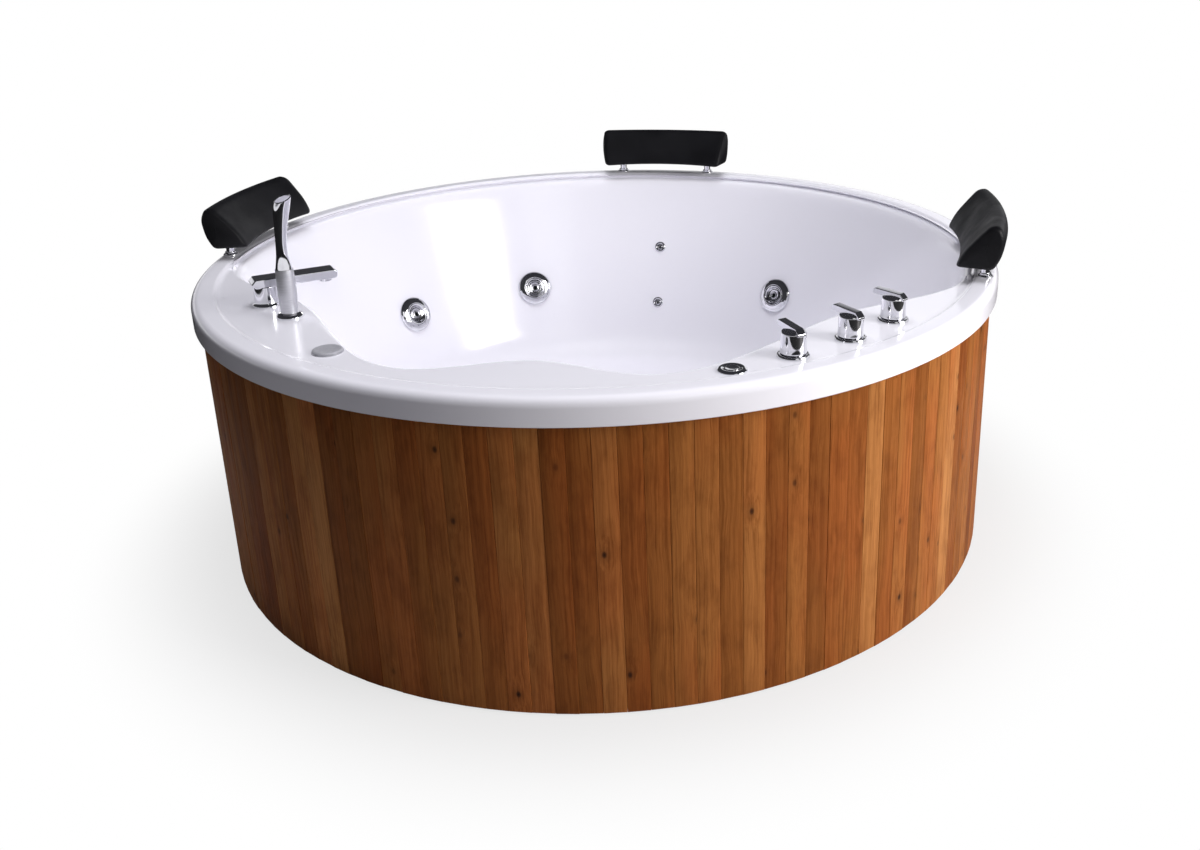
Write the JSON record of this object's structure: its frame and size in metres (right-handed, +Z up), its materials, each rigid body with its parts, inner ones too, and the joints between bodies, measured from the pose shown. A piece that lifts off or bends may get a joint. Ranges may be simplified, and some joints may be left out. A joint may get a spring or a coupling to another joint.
{
  "type": "jetted bathtub",
  "caption": "Round free-standing jetted bathtub: white moulded shell with lobed basin in a wooden stave skirt, head pillows, deck spout, hand shower, lever valves and swivel jets.",
  "frame": {"origin": "on the floor under the middle of the rim, which is the drain's axis", "axes": "+Z up, -Y towards the front lobe between the two decks, +X to the lever valves' side"},
  "size_m": [1.6236, 1.6117, 0.7705],
  "materials": {
    "white_acrylic": "polished moulded acrylic",
    "wood_staves": "oiled heat-treated pine",
    "plywood": "bare plywood",
    "frame_steel": "galvanised",
    "foot_rubber": "moulded",
    "white_plastic": "extruded pipe",
    "pump_plastic": "moulded",
    "motor_paint": "satin paint",
    "chrome": "polished plating",
    "satin_chrome": "satin plating",
    "eyeball_grey": "plated plastic",
    "brass": "raw casting",
    "steel_pipe": "drawn tube",
    "pillow_black": "integral-skin foam"
  },
  "bodies": {
    "tub": {"tub_shell": "white_acrylic", "staves_right": "wood_staves", "staves_back": "wood_staves", "staves_left": "wood_staves", "staves_front": "wood_staves", "skirt_hoops": "plywood", "rim_board": "plywood", "frame": "frame_steel", "feet": "foot_rubber", "base_board": "plywood", "drain_flange": "chrome", "waste_trap": "white_plastic", "jet_bodies": "white_plastic", "jet_nuts": "white_plastic", "small_jets": "chrome", "small_jet_nuts": "white_plastic", "suction_body": "white_plastic", "suction_nut": "white_plastic", "suction_grille": "chrome", "suction_pipe": "white_plastic", "pump_housing": "pump_plastic", "pump_motor": "motor_paint", "motor_fan_cover": "pump_plastic", "pump_cradle": "pump_plastic", "water_manifold": "white_plastic", "air_pipe": "white_plastic", "valve_manifold": "brass", "valve_flanges": "chrome", "spout_feed": "steel_pipe", "spout": "chrome", "aerator": "chrome", "shower_holder": "satin_chrome", "button_bezel": "chrome", "dial_base": "satin_chrome", "deck_nuts": "brass", "pillow_sockets": "chrome"},
    "plug": {"drain_plug": "chrome"},
    "ring_far_left": {"jet_ring_far_left": "chrome"},
    "eyeball_far_left": {"jet_eyeball_far_left": "eyeball_grey"},
    "ring_near_left": {"jet_ring_near_left": "chrome"},
    "eyeball_near_left": {"jet_eyeball_near_left": "eyeball_grey"},
    "ring_near_right": {"jet_ring_near_right": "chrome"},
    "eyeball_near_right": {"jet_eyeball_near_right": "eyeball_grey"},
    "ring_far_right": {"jet_ring_far_right": "chrome"},
    "eyeball_far_right": {"jet_eyeball_far_right": "eyeball_grey"},
    "lever_hot": {"lever_hot": "chrome"},
    "lever_cold": {"lever_cold": "chrome"},
    "lever_diverter": {"lever_diverter": "chrome"},
    "wand": {"shower_wand": "chrome"},
    "button": {"button_cap": "chrome"},
    "dial": {"air_dial": "satin_chrome"},
    "pillow_left": {"pillow_left": "pillow_black", "pillow_posts_left": "chrome"},
    "pillow_back": {"pillow_back": "pillow_black", "pillow_posts_back": "chrome"},
    "pillow_right": {"pillow_right": "pillow_black", "pillow_posts_right": "chrome"}
  },
  "joints": [
    {"name": "plug_lift", "type": "slide", "parent": "tub", "child": "plug", "axis": [0, 0, 1], "range_m": [0, 0.008]},
    {"name": "ring_turn_far_left", "type": "hinge", "parent": "tub", "child": "ring_far_left", "pos_m": [-0.53529, 0.33449, 0.292], "axis": [0.7868, -0.4916, 0.3732], "range_deg": [0, 90]},
    {"name": "eyeball_tilt_far_left", "type": "hinge", "parent": "ring_far_left", "child": "eyeball_far_left", "pos_m": [-0.53608, 0.33498, 0.29163], "axis": [-0.5299, -0.848, 0], "range_deg": [-12, 12]},
    {"name": "ring_turn_near_left", "type": "hinge", "parent": "tub", "child": "ring_near_left", "pos_m": [-0.28656, 0.56241, 0.292], "axis": [0.4212, -0.8266, 0.3732], "range_deg": [0, 90]},
    {"name": "eyeball_tilt_near_left", "type": "hinge", "parent": "ring_near_left", "child": "eyeball_near_left", "pos_m": [-0.28698, 0.56324, 0.29163], "axis": [-0.891, -0.454, 0], "range_deg": [-12, 12]},
    {"name": "ring_turn_near_right", "type": "hinge", "parent": "tub", "child": "ring_near_right", "pos_m": [0.34378, 0.52938, 0.292], "axis": [-0.5053, -0.7781, 0.3732], "range_deg": [0, 90]},
    {"name": "eyeball_tilt_near_right", "type": "hinge", "parent": "ring_near_right", "child": "eyeball_near_right", "pos_m": [0.34429, 0.53015, 0.29163], "axis": [-0.8387, 0.5446, 0], "range_deg": [-12, 12]},
    {"name": "ring_turn_far_right", "type": "hinge", "parent": "tub", "child": "ring_far_right", "pos_m": [0.56732, 0.2767, 0.292], "axis": [-0.8338, -0.4067, 0.3732], "range_deg": [0, 90]},
    {"name": "eyeball_tilt_far_right", "type": "hinge", "parent": "ring_far_right", "child": "eyeball_far_right", "pos_m": [0.56816, 0.27711, 0.29163], "axis": [-0.4384, 0.8988, 0], "range_deg": [-12, 12]},
    {"name": "lever_turn_hot", "type": "hinge", "parent": "tub", "child": "lever_hot", "pos_m": [0.40874, -0.5903, 0.55671], "axis": [0, 0.008, 1], "range_deg": [0, 90]},
    {"name": "lever_turn_cold", "type": "hinge", "parent": "tub", "child": "lever_cold", "pos_m": [0.50029, -0.50379, 0.55602], "axis": [0, 0.008, 1], "range_deg": [0, 90]},
    {"name": "lever_turn_diverter", "type": "hinge", "parent": "tub", "child": "lever_diverter", "pos_m": [0.57434, -0.40365, 0.55522], "axis": [0, 0.008, 1], "range_deg": [0, 90]},
    {"name": "wand_lift", "type": "slide", "parent": "tub", "child": "wand", "axis": [0, 0.008, 1], "range_m": [0, 0.08]},
    {"name": "button_press", "type": "slide", "parent": "tub", "child": "button", "axis": [0, -0.008, -1], "range_m": [0, 0.004], "stiffness_N_per_m": 600, "springref_m": -0.003},
    {"name": "dial_turn", "type": "hinge", "parent": "tub", "child": "dial", "pos_m": [-0.34384, -0.61776, 0.55693], "axis": [0, 0.008, 1], "range_deg": [0, 180]},
    {"name": "pillow_lift_left", "type": "slide", "parent": "tub", "child": "pillow_left", "axis": [0, 0, 1], "range_m": [0, 0.06]},
    {"name": "pillow_lift_back", "type": "slide", "parent": "tub", "child": "pillow_back", "axis": [0, 0, 1], "range_m": [0, 0.06]},
    {"name": "pillow_lift_right", "type": "slide", "parent": "tub", "child": "pillow_right", "axis": [0, 0, 1], "range_m": [0, 0.06]}
  ]
}
